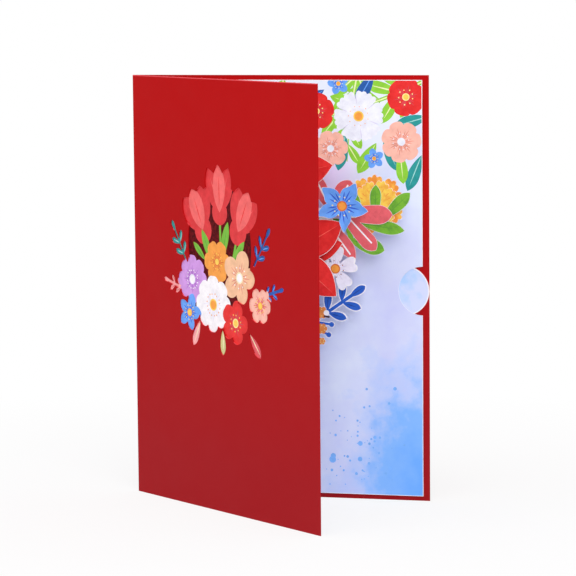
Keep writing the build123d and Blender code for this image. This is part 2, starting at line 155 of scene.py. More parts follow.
def dot(first, second):
    return join("ShaderNodeVectorMath", {0: first, 1: second}, operation="DOT_PRODUCT")["Value"]


def speckle(coords, size, detail=2.0, rough=0.5):  # size of a speckle in millimetres
    inputs = {"Vector": coords, "Scale": 1000 / size, "Detail": detail, "Roughness": rough}
    return join("ShaderNodeTexNoise", inputs)[0]


def freshTree(owner):
    owner.use_nodes = True
    owner.node_tree.nodes.clear()
    return owner.node_tree


def startMaterial(name, specular=0.35):
    inks[name] = bpy.data.materials.new(name)
    tree = freshTree(inks[name])
    shader = put(tree, "ShaderNodeBsdfPrincipled", {"Specular IOR Level": specular})
    put(tree, "ShaderNodeOutputMaterial", {"Surface": shader.outputs[0]})
    return shader, put(tree, "ShaderNodeTexCoord").outputs["Object"]


def endMaterial(shader, colour, rough, height, strength, distance):
    bump = join("ShaderNodeBump", {"Height": height, "Strength": strength, "Distance": distance})[0]
    for label, value in (("Base Color", colour), ("Roughness", rough), ("Normal", bump)):
        shader.id_data.links.new(value, shader.inputs[label])


def finishPaper(shader, coords, colour, finish):
    rough, grain, depth = finishes[finish]
    fibres = speckle(coords, grain, 3.0, 0.6)
    patches = ranged(speckle(coords, 9.0), 0.3, 0.7, *rough)
    endMaterial(shader, colour, patches, fibres, depth, 0.00006)


inkTones = {
    "paperWhite": (244, 243, 248), "printWhite": (232, 236, 251), "cream": (242, 232, 190),
    "coral": (222, 92, 100), "coralDark": (202, 70, 84), "coralPale": (244, 168, 168),
    "crimson": (224, 26, 24), "crimsonPale": (244, 92, 80), "edgePink": (246, 190, 184),
    "tulipRed": (214, 38, 44), "tulipPale": (236, 98, 96), "berry": (222, 132, 58),
    "green": (112, 182, 44), "greenDark": (78, 146, 38), "olive": (206, 204, 138),
    "lime": (140, 208, 52), "limePale": (232, 244, 178), "teal": (22, 148, 146), "tealPale": (160, 220, 214),
    "navy": (18, 84, 164), "blue": (20, 88, 190), "blueDark": (14, 58, 150), "stemDark": (48, 24, 44),
    "sky": (100, 162, 246), "skyDark": (44, 92, 212), "splash": (122, 180, 246),
    "lilac": (204, 150, 224), "lilacDark": (170, 108, 200), "lilacWhite": (232, 230, 246),
    "lilacShade": (208, 202, 232), "peach": (246, 184, 166), "peachDark": (222, 138, 122),
    "sand": (240, 190, 150), "orange": (240, 156, 58), "orangeDark": (218, 112, 40),
    "yellow": (247, 206, 84), "yellowPale": (252, 232, 150), "shadeBrown": (150, 92, 60),
}
inkRange = {"deeper": 0.9, "paler": 1.08, "lift": 0.012}


def mixInk(name, rgb):
    shader, coords = startMaterial(name)
    base = tone(*rgb)[:3]
    pale = tuple(min(1.0, v * inkRange["paler"] + inkRange["lift"]) for v in base) + (1,)
    deep = tuple(v * inkRange["deeper"] for v in base) + (1,)
    share = ranged(speckle(coords, 3.2, 4.0, 0.62), 0.32, 0.68)
    finishPaper(shader, coords, blended(share, deep, pale), "printed")


def cloudyPaper(name, first, second, size, finish="plain", specular=0.25, rough=0.5, span=(0.4, 0.62)):
    shader, coords = startMaterial(name, specular)
    share = ranged(speckle(coords, size, 3.0, rough), *span)
    finishPaper(shader, coords, blended(share, tone(*first), tone(*second)), finish)


for inkName, rgb in inkTones.items():
    mixInk(inkName, rgb)
for inkName, first, second, size in (
    ("marigoldOuter", (234, 142, 48), (246, 190, 76), 4.0),
    ("marigoldInner", (246, 208, 82), (236, 172, 62), 3.4),
    ("leafGreen", (116, 180, 44), (92, 156, 40), 5.0),
):
    cloudyPaper(inkName, first, second, size, "printed", 0.35, 0.6, (0.44, 0.60))

coverCard = {
    "red": (178, 10, 12), "redShadedLow": (160, 26, 32), "redMottle": (150, 14, 20), "cutEdgeAndHighlight": (222, 78, 84),
    "fade": (0.02, 0.17), "curve": 1.5,  # heights in metres over which painted shade darkens the red towards the bottom
    "sheen": 0.05, "grain": 1.1, "mottle": 0.12, "fold": 0.004, "highlightBand": 0.35,
    "edgeOn": 0.35, "upright": 0.7, "facing": 0.9,  # limits on a face's normal
}


def redCard():  # paler where the card is cut; painted shade darkens it towards the bottom, and a painted highlight runs along the top edge of the front face
    shader, coords = startMaterial("redCard", coverCard["sheen"])
    spot = apart(coords)
    # painted shade: the red turns to a darker red towards the bottom of the card, standing in for less light
    # there
    low = sums("**", ranged(spot[2], *coverCard["fade"], 1.0, 0.0), coverCard["curve"])
    red = blended(low, tone(*coverCard["red"]), tone(*coverCard["redShadedLow"]))
    mottle = ranged(speckle(coords, coverCard["grain"], 3.0), 0.3, 0.7, 0.0, coverCard["mottle"])
    red = blended(mottle, red, tone(*coverCard["redMottle"]))
    normal = put(shader.id_data, "ShaderNodeNewGeometry").outputs["Normal"]
    back, front = (sums("ABSOLUTE", dot(normal, side["inward"])) for side in (backSide, frontSide))
    thin = sums("<", sums("MAXIMUM", back, front), coverCard["edgeOn"])
    pastFold = sums(">", spot[0], spine.x + coverCard["fold"])
    level = sums(">", sums("ABSOLUTE", apart(normal)[2]), coverCard["upright"])
    cut = sums("MAXIMUM", sums("*", thin, pastFold), level)
    # painted highlight: a pale band along the top edge of the front face, in the same colour as the real cut
    # edges
    top = sums(">", spot[2], (card["height"] - coverCard["highlightBand"]) * mm)
    rim = sums("*", top, sums(">", front, coverCard["facing"]))
    red = blended(sums("MAXIMUM", cut, rim), red, tone(*coverCard["cutEdgeAndHighlight"]))
    finishPaper(shader, coords, red, "cover")


wash = {
    "lavender": (203, 209, 247), "pale": (227, 236, 252), "reflectedPink": (226, 210, 244),
    "mist": (184, 208, 252), "sky": (134, 188, 252), "deep": (112, 176, 254),
    "cloud": 34.0, "pool": 13.0,  # millimetres
    "rise": 0.35, "paling": (0.45, 0.85), "slope": 0.35, "start": 0.77, "roof": 0.28, "roofSlope": 0.8,
    "sway": 0.22, "ripple": 0.26,
    "bands": [("mist", -0.09, 0.01), ("sky", -0.02, 0.05), ("deep", 0.06, 0.16)],
    "reflectionAcross": (0.80, 0.68), "reflectionAbove": (0.50, 0.64), "reflectionBelow": (0.92, 0.78),
}


def watercolour(name, side):  # u and v are shares of the card's width and height
    shader, coords = startMaterial(name, 0.25)
    offset = join("ShaderNodeVectorMath", {0: coords, 1: spine}, operation="SUBTRACT")[0]
    u = sums("/", dot(offset, side["along"]), card["width"] * mm)
    v = sums("/", apart(offset)[2], card["height"] * mm)
    clouds = speckle(coords, wash["cloud"], 4.0, 0.55)
    pools = speckle(coords, wash["pool"], 4.0, 0.6)
    share = ranged(sums("+", clouds, sums("*", v, wash["rise"])), *wash["paling"])
    ground = blended(share, tone(*wash["lavender"]), tone(*wash["pale"]))
    # painted reflection: a pink cast of the red bloom on the lining, in the same place on both linings
    redReflection = sums("*", ranged(u, *wash["reflectionAcross"]), ranged(v, *wash["reflectionAbove"]))
    redReflection = sums("*", redReflection, ranged(v, *wash["reflectionBelow"]))
    colour = blended(redReflection, ground, tone(*wash["reflectedPink"]))
    shore = sums("-", sums("*+", v, -wash["slope"], u), wash["start"])
    roof = sums("*", sums("-", wash["roof"], v), wash["roofSlope"])
    reach = sums("MINIMUM", shore, roof)
    for noise, strength in ((clouds, wash["sway"]), (pools, wash["ripple"])):
        reach = sums("*+", sums("-", noise, 0.5), strength, reach)
    for band, low, high in wash["bands"]:
        colour = blended(ranged(reach, low, high), colour, tone(*wash[band]))
    finishPaper(shader, coords, colour, "lining")


noteTab = {"x": 116.5, "z": 88.5, "printed": 10.0, "blue": (178, 212, 253), "mist": (212, 222, 252)}


def noteCard():  # clouded, with a white rim round the tab
    shader, coords = startMaterial("noteCloud", 0.25)
    middle = onSide(backSide, noteTab["x"], noteTab["z"], 0)
    spot = apart(coords)
    across = sums("-", spot[0], middle.x)
    upright = sums("-", spot[2], middle.z)
    squares = sums("+", sums("**", across, 2), sums("**", upright, 2))
    share = ranged(speckle(coords, 9.0, 3.0), 0.42, 0.60)
    cloud = blended(share, tone(*noteTab["blue"]), tone(*noteTab["mist"]))
    past = sums(">", sums("SQRT", squares), noteTab["printed"] * mm)
    rim = sums("*", past, sums(">", across, 0))
    colour = blended(rim, cloud, tone(*inkTones["paperWhite"]))
    finishPaper(shader, coords, colour, "plain")


foam = {"shade": (206, 206, 204), "white": (246, 246, 243), "cells": 3200, "dent": 0.0001}


def foamPad():
    shader, coords = startMaterial("whiteFoam", 0.2)
    cells = join("ShaderNodeTexVoronoi", {"Vector": coords, "Scale": foam["cells"]})["Distance"]
    share = ranged(cells, 0.1, 0.7)
    colour = blended(share, tone(*foam["shade"]), tone(*foam["white"]))
    endMaterial(shader, colour, ranged(share, 0, 1, 0.9, 0.7), cells, 0.5, foam["dent"])


redCard()
watercolour("backWash", backSide)
watercolour("frontWash", frontSide)
cloudyPaper("boardGround", (70, 8, 14), (104, 16, 22), 1.3, specular=0.05)
noteCard()
cloudyPaper("platformPaper", (202, 208, 244), (226, 230, 250), 22.0)
cloudyPaper("tapePaper", (226, 224, 212), (240, 238, 230), 4.0)
foamPad()
print("materials mixed:", len(inks))

# Outlines in millimetres, from the origin along x

def arcTo(length, rise, steps):  # arc from the origin that runs level where it ends
    radius = (length ** 2 + rise ** 2) / (2 * rise)
    start = asin(min(1.0, length / radius))
    turns = [start * (1 - i / steps) for i in range(steps + 1)]
    return [(length - radius * sin(a), rise - radius + radius * cos(a)) for a in turns]


def mirrored(half, tip):  # a half outline, what lies on the middle line, and the other half
    return [(x, -y) for x, y in half] + list(tip) + half[:0:-1]


def leafShape(length, width, belly=0.66, steps=9):
    first = arcTo(length * belly, width / 2, steps)
    last = [(length - x, y) for x, y in arcTo(length * (1 - belly), width / 2, steps)]
    return mirrored(first + last[-2:0:-1], last[:1])


def pointedShape(length, width, belly, steps):
    side = []
    for i in range(2 * steps + 1):
        share = i / steps - 1
        along = belly * length + share * length * (1 - belly if share > 0 else belly)
        side.append((along, width / 2 * (1 - share ** 2)))
    return mirrored(side[:-1], side[-1:])


wave = {"lower": (0.10, 0.35, 0.15), "upper": (0.30, 0.80, 0.13)}  # depth, place and breadth of each dent


def wavyShape(length, width, steps=14):  # a petal that narrows early on one side
    edges = {"lower": [], "upper": []}
    for i in range(steps + 1):
        share = i / steps
        half = width / 2 * sin(pi * share ** 0.9) ** 0.85 if 0 < share < 1 else 0.0
        for edge, (depth, middle, breadth) in wave.items():
            y = half * (1 - depth * exp(-((share - middle) / breadth) ** 2))
            edges[edge].append((share * length, -y if edge == "lower" else y))
    return edges["lower"] + edges["upper"][-2:0:-1]


def rounded(points, keep=(0,), rounds=2):  # corners cut again and again, but for those kept
    kept = [i in keep for i in range(len(points))]
    for _ in range(rounds):
        cut, marks = [], []
        for i, (x, y) in enumerate(points):
            if kept[i]:
                cut.append((x, y))
                marks.append(True)
                continue
            for nextX, nextY in (points[i - 1], points[(i + 1) % len(points)]):
                cut.append((x + (nextX - x) * 0.25, y + (nextY - y) * 0.25))
                marks.append(False)
        points, kept = cut, marks
    return points


petalHalves = {  # corners as shares of the length and of half the width, and the notch at the tip
    "notched": ([(0, 0), (0.34, 0.62), (0.7, 1), (0.93, 0.94), (1.01, 0.45)], [0.9]),
    "round": ([(0, 0), (0.3, 0.5), (0.6, 1), (0.92, 0.9), (1.04, 0.4)], []),
}


def petalShape(kind, length, width):
    corners, notch = petalHalves[kind]
    half = [(x * length, y * width / 2) for x, y in corners]
    return rounded(mirrored(half, [(x * length, 0) for x in notch]), (0, 5) if notch else (0,))


def frilledShape(length, width, lobes):
    side = width / 2
    points = [(0, 0), (0.45 * length, -0.62 * side), (0.8 * length, -side)]
    for lobe in range(lobes):
        low = -side + (lobe + 0.25) * width / lobes
        bulge = 1 - 0.10 * abs(2 * (lobe + 0.5) / lobes - 1)
        points += [(length * bulge, low), (length * bulge, low + 0.5 * width / lobes)]
        if lobe < lobes - 1:
            points.append((0.9 * length, low + 0.75 * width / lobes))
    return rounded(points + [(0.8 * length, side), (0.45 * length, 0.62 * side)])


def discShape(radius, steps, x=0.0, y=0.0):
    turns = [2 * pi * i / steps for i in range(steps)]
    return [(x + radius * cos(a), y + radius * sin(a)) for a in turns]


def barShape(start, end, width):
    (x0, y0), (x1, y1) = start, end
    length = hypot(x1 - x0, y1 - y0)
    dx, dy = (y1 - y0) / length * width / 2, (x0 - x1) / length * width / 2
    return [(x0 + dx, y0 + dy), (x1 + dx, y1 + dy), (x1 - dx, y1 - dy), (x0 - dx, y0 - dy)]


def slid(outline, x):
    return [(px + x, py) for px, py in outline]


def scaled(outline, share):
    return [(x * share, y * share) for x, y in outline]


def placed(outline, place, angle=0.0):
    c, s = cos(radians(angle)), sin(radians(angle))
    return [(place[0] + c * x - s * y, place[1] + s * x + c * y) for x, y in outline]


def ribShape(length, width, share=0.84, belly=0.3, start=0.03, steps=4):
    return slid(leafShape(length * share, width, belly, steps), length * start)


# Geometry Nodes for what repeats: rings, sprigs and splashes

def newTree(name, counts, sizes):
    tree = bpy.data.node_groups.new(name, "GeometryNodeTree")
    labels = {"Geometry": ["Geometry"], "Int": counts, "Float": sizes, "Material": ["Ink"]}
    for kind, label in [(kind, label) for kind in labels for label in labels[kind]]:
        tree.interface.new_socket(name=label, in_out="INPUT", socket_type="NodeSocket" + kind)
    tree.interface.new_socket(name="Geometry", in_out="OUTPUT", socket_type="NodeSocketGeometry")
    return tree, put(tree, "NodeGroupInput").outputs


def pointsFor(count):
    return join("GeometryNodePoints", {"Count": count})[0]


def movedTo(points, x, y):
    place = join("ShaderNodeCombineXYZ", {0: x, 1: y})[0]
    return join("GeometryNodeSetPosition", {"Geometry": points, "Position": place})[0]


def endTree(tree, given, points, angle, size):
    turned = join("FunctionNodeEulerToRotation", {0: join("ShaderNodeCombineXYZ", {2: angle})[0]})[0]
    scale = join("ShaderNodeCombineXYZ", {0: size, 1: size, 2: size})[0]
    inputs = {"Points": points, "Instance": given["Geometry"], "Rotation": turned, "Scale": scale}
    copies = join("GeometryNodeInstanceOnPoints", inputs)[0]
    real = join("GeometryNodeRealizeInstances", {0: copies})[0]
    inked = join("GeometryNodeSetMaterial", {"Geometry": real, "Material": given["Ink"]})[0]
    put(tree, "NodeGroupOutput", {0: inked})
    return tree


def chance(low, high, seed):
    return join("FunctionNodeRandomValue", {2: low, 3: high, 8: seed}, data_type="FLOAT")[1]


def ringTree():
    tree, given = newTree("ringOfPetals", ["Count", "Seed"], ["First", "Sway", "Shrink"])
    index = put(tree, "GeometryNodeInputIndex").outputs[0]
    step = sums("/", 2 * pi, given["Count"])
    angle = sums("*+", index, step, given["First"])
    angle = sums("*+", chance(-1.0, 1.0, given["Seed"]), given["Sway"], angle)
    shrink = sums("*", chance(0.0, 1.0, given["Seed"]), given["Shrink"])
    return endTree(tree, given, pointsFor(given["Count"]), angle, sums("-", 1.0, shrink))


def sprigTree():
    tree, given = newTree("leafletsAlongStem", ["Pairs"], ["Bare", "Length", "Spread", "Bend", "Taper"])
    index = put(tree, "GeometryNodeInputIndex").outputs[0]
    pair = sums("FLOOR", sums("/", index, 2.0))
    hand = sums("*+", sums("%", index, 2.0), 2.0, -1.0)
    share = sums("/", pair, given["Pairs"])
    span = sums("-", given["Length"], given["Bare"])
    x = sums("*+", share, span, given["Bare"])
    along = sums("/", x, given["Length"])
    y = sums("*", sums("*", along, along), given["Bend"])
    points = movedTo(pointsFor(sums("*", given["Pairs"], 2.0)), x, y)
    climb = sums("*", sums("*", along, 2.0), given["Bend"])
    slope = sums("ARCTANGENT", sums("/", climb, given["Length"]))
    lean = sums("*+", hand, given["Spread"], slope)
    size = sums("-", 1.0, sums("*", share, given["Taper"]))
    return endTree(tree, given, points, lean, size)


def splashTree():
    tree, given = newTree("splashes", ["Count", "Seed"], ["Width", "Height", "Smallest", "Largest"])
    heightSeed, sizeSeed = (sums("+", given["Seed"], step) for step in (7, 13))
    x = sums("*", chance(0.0, 1.0, given["Seed"]), given["Width"])
    y = sums("*", chance(0.0, 1.0, heightSeed), given["Height"])
    points = movedTo(pointsFor(given["Count"]), x, y)
    luck = sums("**", chance(0.0, 1.0, sizeSeed), 3.0)
    span = sums("-", given["Largest"], given["Smallest"])
    size = sums("*+", luck, span, given["Smallest"])
    return endTree(tree, given, points, sums("*", luck, 6.0), size)


trees = {"ring": ringTree(), "sprig": sprigTree(), "splash": splashTree()}


def grow(treeName, outline, ink, place, angle, **values):
    tree = trees[treeName]
    mesh = bpy.data.meshes.new("outline")
    mesh.from_pydata([(x, y, 0) for x, y in outline], [], [list(range(len(outline)))])
    holder = newObject("outline", mesh)
    modifier = holder.modifiers.new("grow", "NODES")
    modifier.node_group = tree
    values["Ink"] = inks[ink]
    for item in tree.interface.items_tree:
        if item.in_out == "INPUT" and item.name in values:
            value = values[item.name]
            modifier[item.identifier] = float(value) if item.socket_type == "NodeSocketFloat" else value
    grown = bpy.data.meshes.new_from_object(holder.evaluated_get(bpy.context.evaluated_depsgraph_get()))
    outlines = []
    for face in grown.polygons:
        points = [(grown.vertices[i].co.x, grown.vertices[i].co.y) for i in face.vertices]
        outlines.append((placed(points, place, angle), ink))
    bpy.data.objects.remove(holder)
    bpy.data.meshes.remove(mesh)
    bpy.data.meshes.remove(grown)
    return outlines


def ring(outline, count, ink, place, first=0.0, sway=0.0, shrink=0.0, seed=1):
    sizes = {"First": radians(first), "Sway": radians(sway), "Shrink": shrink}
    return grow("ring", outline, ink, place, 0.0, Count=count, Seed=seed, **sizes)


def sprigOf(outline, pairs, ink, place, angle, length, bare, spread, bend=0.0, taper=0.0):
    sizes = {"Pairs": pairs, "Bare": bare, "Length": length, "Spread": radians(spread)}
    return grow("sprig", outline, ink, place, angle, Bend=bend, Taper=taper, **sizes)


def stemOf(ink, place, angle, length, width, bend=0.0, steps=12):
    lower, upper = [], []
    for i in range(steps + 1):
        x, y, half = length * i / steps, bend * (i / steps) ** 2, width / 2 * (1 - 0.5 * i / steps)
        lower.append((x, y - half))
        upper.append((x, y + half))
    return [(placed(lower + upper[::-1], place, angle), ink)]


print("trees built:", ", ".join(trees))

# Sheets: outlines and prints merged into one printed face, with white cut edges and back

sheets = {"leastArea": 0.002, "merge": 1e-4, "sharpFrom": 24}  # square millimetres, millimetres, degrees


def inkedAreas(areas):  # every outline that has an area, turned the same way round
    points, faces, used = [], [], []
    for outline, ink in areas:
        area = sum(a[0] * b[1] - b[0] * a[1] for a, b in zip(outline, outline[1:] + outline[:1])) / 2
        if abs(area) < sheets["leastArea"]:
            continue
        faces.append(list(range(len(points), len(points) + len(outline))))
        points += [Vector(p) for p in (outline if area > 0 else outline[::-1])]
        used.append(ink)
    return points, faces, used


def fillPoints(shapes, step):  # a triangular grid, so that a bent sheet bends evenly
    xs, ys = [[point[axis] for outline in shapes for point in outline] for axis in (0, 1)]
    left, low = min(xs), min(ys)
    rows, columns = (int((max(values) - min(values)) / step) + 1 for values in (ys, xs))
    spots = [(row, column + 0.5 * (row % 2)) for row in range(rows) for column in range(columns)]
    return [Vector((left + column * step, low + row * step)) for row, column in spots]


def paperSheet(name, side, levels, shapes, prints, ground, edge="paperWhite", mesh=0.0, lift=None, creases=()):
    bottom, top = levels
    points, faces, used = inkedAreas([(outline, ground) for outline in shapes] + prints)
    lines = []
    for crease in creases:
        lines += [(len(points) + i, len(points) + i + 1) for i in range(len(crease) - 1)]
        points += [Vector(p) for p in crease]
    if mesh:
        points += fillPoints(shapes, mesh)
    flat, _, triangles, _, _, owners = delaunay_2d_cdt(points, lines, faces, 1, sheets["merge"], True)
    order = ["paperWhite", edge]
    kept, marks, walls = [], [], {}
    for corners, owner in zip(triangles, owners):
        if not any(o < len(shapes) for o in owner):
            continue
        ink = used[max(owner)]
        if ink not in order:
            order.append(ink)
        kept.append(list(corners))
        marks.append(order.index(ink))
        for a, b in zip(corners, corners[1:] + corners[:1]):
            if (b, a) in walls:
                del walls[(b, a)]
            else:
                walls[(a, b)] = True
    count = len(flat)
    lifts = [lift(x, y) if lift else 0.0 for x, y in flat]
    vertices = [onSide(side, x, y, face + h) for face in (top, bottom) for (x, y), h in zip(flat, lifts)]
    polygons = kept + [[count + i for i in face[::-1]] for face in kept]
    polygons += [[b, a, count + a, count + b] for a, b in walls]
    facing = side["along"].cross(Vector((0, 0, 1))).dot(side["inward"]) * (top - bottom)
    if facing < 0:
        polygons = [face[::-1] for face in polygons]
    sheet = bpy.data.meshes.new(name)
    sheet.from_pydata([tuple(v) for v in vertices], [], polygons)
    for ink in order:
        sheet.materials.append(inks[ink])
    for face, mark in zip(sheet.polygons, marks + [0] * len(kept) + [1] * len(walls)):
        face.material_index = mark
    if lift:
        sheet.shade_smooth()
        sheet.set_sharp_from_angle(angle=radians(sheets["sharpFrom"]))
    sheet.update()
    dropLoose(sheet)
    return newObject(name, sheet)


def dropLoose(sheet):  # vertices that no face uses go
    work = bmesh.new()
    work.from_mesh(sheet)
    bmesh.ops.delete(work, geom=[v for v in work.verts if not v.link_faces], context="VERTS")
    work.to_mesh(sheet)
    work.free()


def cutOut(node, name, slot, side, shapes, prints, levels=None, ground="paperWhite", **more):
    piece = paperSheet(name, side, levels or levelsOf(node, side), shapes, prints, ground, **more)
    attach(piece, "root")
    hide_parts(node)


def petalLift(axes, fold, curl):  # each axis is a root, an angle, a length and a half width
    def lift(x, y):
        best, height = None, 0.0
        for (rootX, rootY), angle, length, half in axes:
            c, s = cos(radians(angle)), sin(radians(angle))
            along = (x - rootX) * c + (y - rootY) * s
            across = abs((y - rootY) * c - (x - rootX) * s)
            if along > 0 and (best is None or across < best):
                best, height = across, curl * (along / length) ** 2 - fold * across / half
        return height
    return lift


def creasesOf(axes, steps=8):
    shares = [i / steps for i in range(steps + 1)]
    return [placed([(axis[2] * share, 0) for share in shares], *axis[:2]) for axis in axes]


# Printed flowers: petals, three streaks on each, a ring of dots and a heart, all in shares of the radius

flowers = {"sway": 1.5, "shrink": 0.03, "streakFrom": 0.16, "streakGap": 4.2, "shorter": 0.25, "middle": 0.74}


def printedFlower(place, radius, petal, count, ink, first, streaks, heart, dots):
    marks = ring(petal, count, ink, place, first, flowers["sway"], flowers["shrink"], 3) if petal else []
    share, width, streakInk = streaks
    for offset in (-1, 0, 1):
        long = radius * share * (1 - flowers["shorter"] * abs(offset))
        streak = slid(leafShape(long, width, 0.4, 3), radius * flowers["streakFrom"])
        marks += ring(streak, count, streakInk, place, first + offset * 360 / count / flowers["streakGap"])
    dotCount, share, dotRadius, dotInk = dots
    marks += ring(discShape(dotRadius, 8, radius * share), dotCount, dotInk, place, first + 9, 4, 0.12, 4)
    share, heartInk, rimInk = heart
    marks.append((discShape(radius * share, 22, *place), rimInk))
    marks.append((discShape(radius * share * flowers["middle"], 18, *place), heartInk))
    return marks


def veinedLeaf(place, angle, length, width, ink, vein, belly=0.6, veinWidth=0.5):
    leaf, rib = leafShape(length, width, belly), ribShape(length, veinWidth)
    return [(placed(leaf, place, angle), ink), (placed(rib, place, angle), vein)]


def sideVeins(place, angle, length, width, ink, pairs, thin=0.28):
    rib = leafShape(width * 0.42, thin, 0.4, 2)
    return sprigOf(rib, pairs, ink, place, angle, length * 0.86, length * 0.2, 46, 0.0, 0.35)


def frond(place, angle, length, pairs, blade, width, ink, vein, bend):
    stem, spread = 2.0, 36
    leaflet, rib = leafShape(blade, width, 0.62), ribShape(blade, width * 0.13, 0.82, 0.3, 0.05, 3)
    marks = stemOf(ink, place, angle, length, stem, bend)
    for shape, shapeInk in ((leaflet, ink), (rib, vein)):
        marks += sprigOf(shape, pairs, shapeInk, place, angle, length, length * 0.1, spread, bend, 0.3)
    return marks + stemOf(vein, place, angle, length, stem * 0.35, bend)


# Cover and what stays as it is in the frame

dressing = {
    "redCard": ["cover"], "noteCloud": ["note_card"], "tapePaper": ["pocket_tape"],
    "platformPaper": ["popup_platform", "gutter_web"],
    "whiteFoam": ["bloom_pad", "bloom_back_pad", "bloom_inner_pad", "star_pad", "peach_pad", "lilac_pad"],
}
for ink, node in [(ink, node) for ink in dressing for node in dressing[ink]]:
    nodes[node].data.materials.clear()
    nodes[node].data.materials.append(inks[ink])
print("frame nodes dressed")

# Picture board: tulips before a dark ground, over a bed of flowers, drawn a little past the window

picture = {
    "left": 27.0, "bottom": 69.0, "width": 73.0, "height": 78.0, "border": 9.0, "bleed": 0.9, "stem": 1.3,
    "tulips": [  # foot, base, height, petal width, lean
        ((0.40, 0.36), (0.31, 0.60), 0.25, 0.150, 26), ((0.48, 0.40), (0.47, 0.70), 0.27, 0.130, 2),
        ((0.56, 0.36), (0.64, 0.61), 0.25, 0.145, -26),
    ],
    "tulipPetals": [
        (-22, 1, "tulipRed", "tulipPale"), (22, 1, "tulipRed", "tulipPale"), (0, 0.8, "tulipPale", "crimson"),
    ],
    "leaves": [
        (0.40, 0.42, 118, 0.22), (0.48, 0.44, 74, 0.24), (0.57, 0.42, 50, 0.20), (0.33, 0.44, 140, 0.15),
    ],
    "sprigs": [
        (0.13, 0.27, 166, 0.21, "coralPale", "coral"), (0.15, 0.42, 122, 0.27, "teal", "tealPale"),
        (0.79, 0.44, 56, 0.27, "navy", "sky"), (0.86, 0.29, 16, 0.21, "blue", "sky"),
    ],
    "hanging": [
        (0.28, 0.12, -116, 0.17, 0.36, "coralPale"), (0.49, 0.09, -88, 0.15, 0.38, "olive"),
        (0.74, 0.09, -50, 0.17, 0.36, "coral"),
    ],
    "bed": [  # place, radius, petals, their width and belly, then the inks of petals, streaks, heart and rim
        (0.44, 0.44, 0.110, 6, 0.78, 0.68, "orange", "orangeDark", "yellow", "orangeDark"),
        (0.20, 0.33, 0.130, 8, 0.62, 0.72, "lilac", "lilacDark", "paperWhite", "lilacWhite"),
        (0.65, 0.37, 0.150, 5, 0.74, 0.58, "sand", "peachDark", "paperWhite", "cream"),
        (0.84, 0.24, 0.100, 6, 0.78, 0.68, "peach", "coral", "yellow", "orange"),
        (0.40, 0.21, 0.155, 8, 0.64, 0.72, "paperWhite", "lilacWhite", "orange", "yellow"),
        (0.17, 0.15, 0.105, 5, 0.66, 0.54, "sky", "skyDark", "yellow", "orange"),
        (0.61, 0.13, 0.120, 5, 0.84, 0.64, "crimson", "coralDark", "yellow", "yellowPale"),
    ],
}
wide, bleed = picture["width"], picture["bleed"]


def inPicture(x, z):
    return (picture["left"] + x * wide, picture["bottom"] + z * picture["height"])


def tulip(foot, base, height, petal, lean):
    base = inPicture(*base)
    long, broad = height * wide + bleed, petal * wide + bleed
    rib = ribShape(long, 0.5, 0.6, 0.4, 0.15, 3)
    marks = [(barShape(inPicture(*foot), base, picture["stem"]), "green")]
    marks.append((discShape(broad / 2, 20, *base), "tulipRed"))
    for tilt, share, ink, vein in picture["tulipPetals"]:
        for shape, shapeInk in ((leafShape(long, broad * share, 0.52), ink), (rib, vein)):
            marks.append((placed(shape, base, 90 + lean + tilt), shapeInk))
    return marks


def pictureSprig(x, z, angle, share, ink, vein):
    place, length = inPicture(x, z), share * wide
    leaflet = length * 0.30
    blade = leafShape(leaflet + bleed, leaflet * 0.42 + bleed)
    tip = placed([(length - leaflet - bleed / 2, 0)], place, angle)[0]
    marks = [(placed(blade, tip, angle), ink)]
    marks += stemOf(ink, place, angle, length - leaflet / 2, picture["stem"] + bleed)
    rib = slid(leafShape(leaflet * 0.7, 0.45, 0.4, 3), 0.8)
    for shape, shapeInk in ((slid(blade, -bleed / 2), ink), (rib, vein)):
        marks += sprigOf(shape, 2, shapeInk, place, angle, length - leaflet, 0.18 * length, 43.0)
    return marks


def pictureBoard():
    border = picture["border"]
    left, low = picture["left"] - border, picture["bottom"] - border
    right, high = left + wide + 2 * border, low + picture["height"] + 2 * border
    marks = []
    for values in picture["tulips"]:
        marks += tulip(*values)
    for x, z, angle, share in picture["leaves"]:
        marks += veinedLeaf(inPicture(x, z), angle, share * wide, 0.26 * share * wide, "green", "greenDark")
    for values in picture["sprigs"]:
        marks += pictureSprig(*values)
    for x, z, angle, share, spread, ink in picture["hanging"]:
        blade = share * wide + bleed
        marks += veinedLeaf(inPicture(x, z), angle, blade, spread * blade + bleed / 2, ink, "cream")
    for x, z, share, petals, spread, belly, ink, streak, heart, rim in picture["bed"]:
        place, radius = inPicture(x, z), share * wide
        petal = leafShape(radius + bleed, radius * spread + bleed, belly)
        marks.append((discShape(radius * 0.28 + bleed, 16, *place), ink))
        looks = (0.5, 0.5, streak), (0.22, heart, rim), (petals * 2, 0.42, 0.34, heart)
        marks += printedFlower(place, radius, petal, petals, ink, 0.0, *looks)
    levels = levelsOf("picture_board", frontSide)[::-1]  # printed on the side of the window
    board = [(left, low), (right, low), (right, high), (left, high)]
    cutOut("picture_board", "printedBoard", "picture_board", frontSide, [board], marks, levels, "boardGround")


pictureBoard()
print("picture board printed")

# Linings: watercolour ground with a garland along the top and splashes below

